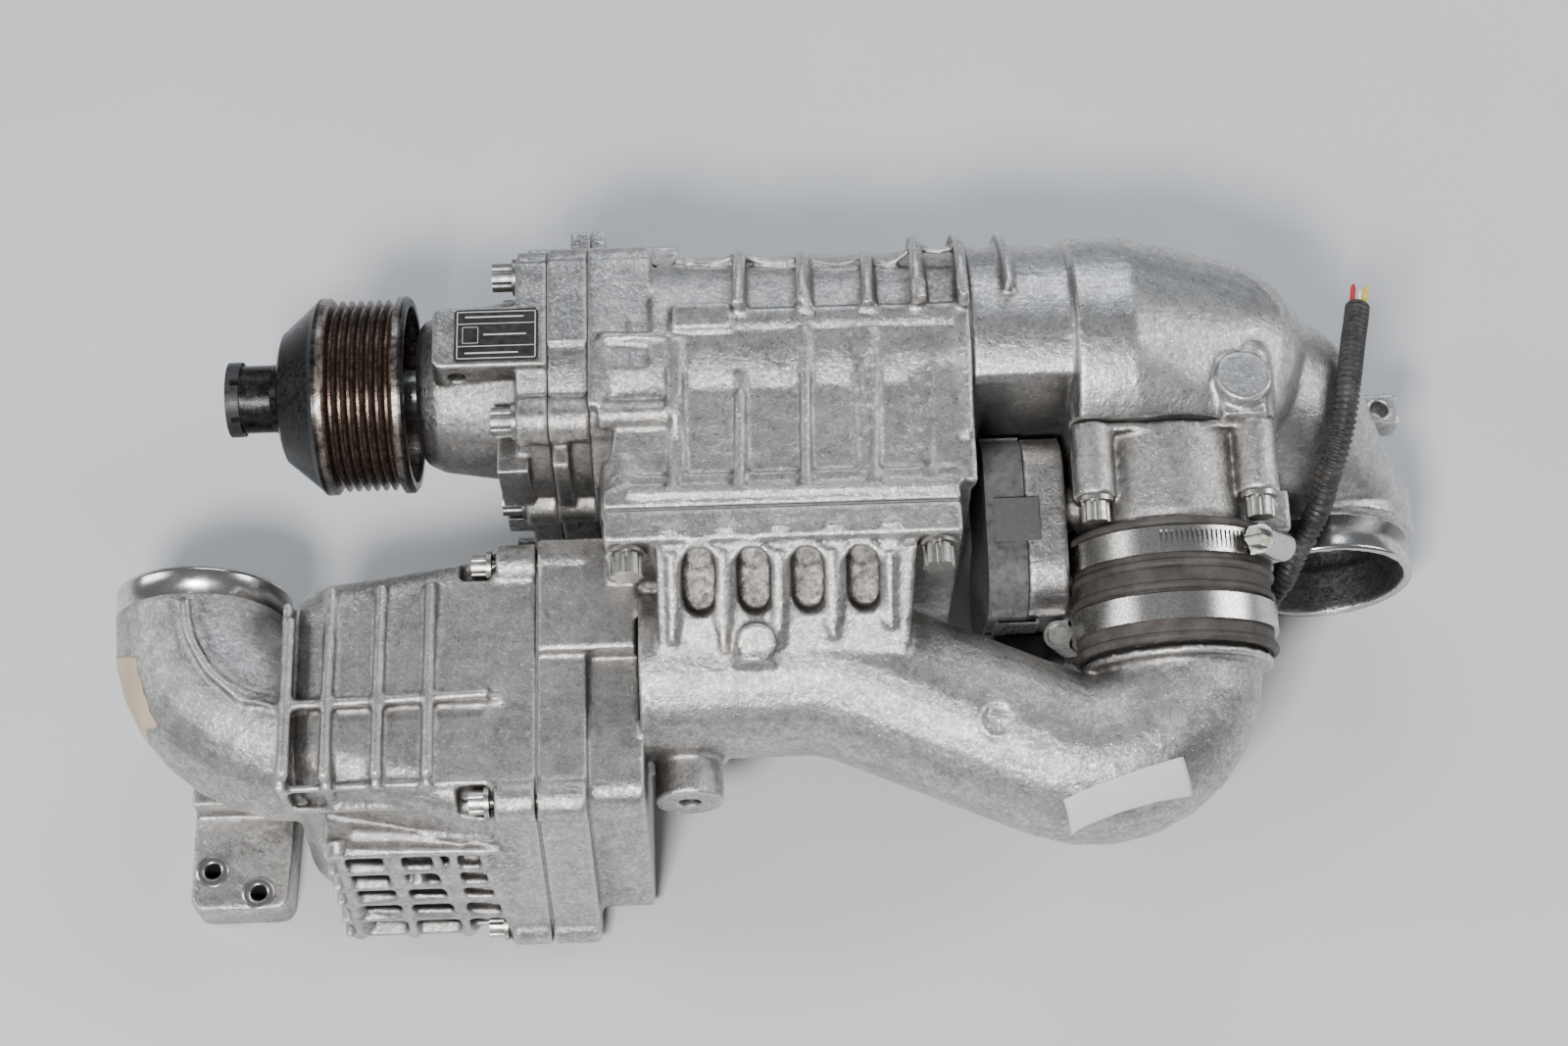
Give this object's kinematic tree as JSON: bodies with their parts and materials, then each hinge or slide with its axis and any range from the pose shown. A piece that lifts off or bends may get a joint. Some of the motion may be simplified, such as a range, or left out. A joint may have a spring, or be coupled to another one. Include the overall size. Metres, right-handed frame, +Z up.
{
  "type": "supercharger",
  "caption": "Belt-driven Roots supercharger with intake elbow, bypass flap and actuator, hose coupling, outlet manifold and ribbed silencer.",
  "frame": {"origin": "middle of the belt grooves on the drive axis", "axes": "+X along the drive axis from the pulley to the rotors, +Z up as the unit lies on a bench, +Y away from the outlet manifold"},
  "size_m": [0.5185, 0.264, 0.1618],
  "materials": {
    "cast_aluminium": "rough die casting",
    "nameplate": "satin black plate",
    "gasket": "coated sheet",
    "black_rubber": "matte",
    "hose_rubber": "dusty matte",
    "conduit_plastic": "dusty matte",
    "wires": "insulation",
    "grey_plastic": "satin",
    "spring_steel": "bright",
    "motor_steel": "plated",
    "machined_steel": "machined",
    "brass": "machined",
    "gear_plastic": "moulded",
    "zinc_bolts": "zinc plated",
    "dark_bolts": "dull",
    "pulley_steel": "worn black",
    "rotor_alloy": "machined"
  },
  "bodies": {
    "housing": {"nose_housing": "cast_aluminium", "nameplate": "nameplate", "bearing_plate": "cast_aluminium", "rotor_housing": "cast_aluminium", "outlet_gasket": "gasket", "intake_gasket": "gasket", "intake_elbow": "cast_aluminium", "flap_housing": "cast_aluminium", "flap_seal": "black_rubber", "actuator_cover": "grey_plastic", "actuator_clips": "spring_steel", "actuator_motor": "motor_steel", "actuator_connector": "conduit_plastic", "conduit": "conduit_plastic", "conduit_wires": "wires", "reduction_gear_pin": "machined_steel", "coupling_hose": "hose_rubber", "upper_clamp_band": "spring_steel", "lower_clamp_band": "spring_steel", "clamp_screw_housings": "spring_steel", "clamp_screws": "spring_steel", "outlet_manifold": "cast_aluminium", "silencer_gasket": "gasket", "silencer_cover": "cast_aluminium", "resonator_tube": "motor_steel", "silencer_bolts": "zinc_bolts", "manifold_bolts": "zinc_bolts", "nose_bolts": "dark_bolts", "elbow_bolts": "zinc_bolts", "flap_housing_bolts": "zinc_bolts", "nose_bearings": "machined_steel", "nose_seal": "black_rubber", "rotor_front_bearings": "machined_steel", "rotor_rear_bearings": "machined_steel", "rotor_seals": "black_rubber", "oil_plug": "zinc_bolts"},
    "drive": {"pulley": "pulley_steel", "hub_cap_ring": "pulley_steel", "input_shaft": "machined_steel", "coupling_hub": "machined_steel", "coupling_isolator": "gear_plastic", "drive_gear": "machined_steel", "drive_rotor": "rotor_alloy", "drive_rotor_shaft": "machined_steel"},
    "driven": {"driven_gear": "machined_steel", "driven_rotor": "rotor_alloy", "driven_rotor_shaft": "machined_steel"},
    "flap": {"flap_shaft": "machined_steel", "flap_plate": "brass", "flap_screws": "machined_steel", "sector_gear": "gear_plastic"},
    "reduction": {"reduction_gear": "gear_plastic"},
    "motor_shaft": {"motor_pinion": "brass"}
  },
  "joints": [
    {"name": "drive_spin", "type": "hinge", "parent": "housing", "child": "drive", "pos_m": [0, 0, 0], "axis": [1, 0, 0], "continuous": true},
    {"name": "driven_spin", "type": "hinge", "parent": "housing", "child": "driven", "pos_m": [0, 0, -0.053], "axis": [1, 0, 0], "continuous": true},
    {"name": "flap_turn", "type": "hinge", "parent": "housing", "child": "flap", "pos_m": [0.308, -0.05362, -0.00934], "axis": [1, 0, 0], "range_deg": [0, 80]},
    {"name": "reduction_turn", "type": "hinge", "parent": "housing", "child": "reduction", "pos_m": [0.308, -0.06027, -0.04064], "axis": [1, 0, 0], "range_deg": [-240.5, 0]},
    {"name": "motor_turn", "type": "hinge", "parent": "housing", "child": "motor_shaft", "pos_m": [0.308, -0.06497, -0.07027], "axis": [1, 0, 0], "range_deg": [0, 960.5]}
  ],
  "couplings": [
    {"joint": "driven_spin", "follows": "drive_spin", "ratio": -1},
    {"joint": "reduction_turn", "follows": "flap_turn", "ratio": -3},
    {"joint": "motor_turn", "follows": "flap_turn", "ratio": 12}
  ]
}
